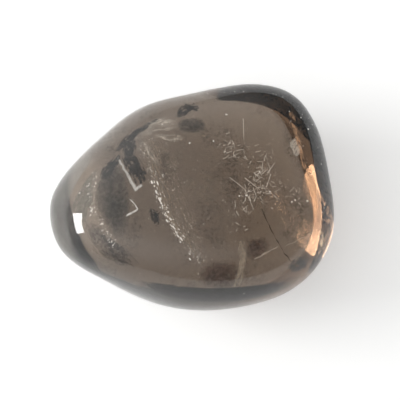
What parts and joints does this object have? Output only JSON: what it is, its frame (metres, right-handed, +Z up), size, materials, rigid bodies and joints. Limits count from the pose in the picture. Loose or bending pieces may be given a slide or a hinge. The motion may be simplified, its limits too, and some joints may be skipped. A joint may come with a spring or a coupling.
{
  "type": "tumbled smoky quartz pebble",
  "caption": "Tumbled smoky quartz pebble: a rounded, pear-shaped piece of clear brown-grey crystal with a small worn flat that it lies on.",
  "frame": {"origin": "on the surface that the stone lies on, under the middle of its bounding box", "axes": "+Z up, square to the surface; +X along the stone's length, from the narrow nose to the blunt end; +Y to the far side of the stone"},
  "size_m": [0.0354, 0.0286, 0.02],
  "materials": {
    "smoky_quartz": "tumble-polished, wet-looking gloss"
  },
  "bodies": {
    "root": {"smoky_quartz_stone": "smoky_quartz"}
  },
  "joints": []
}
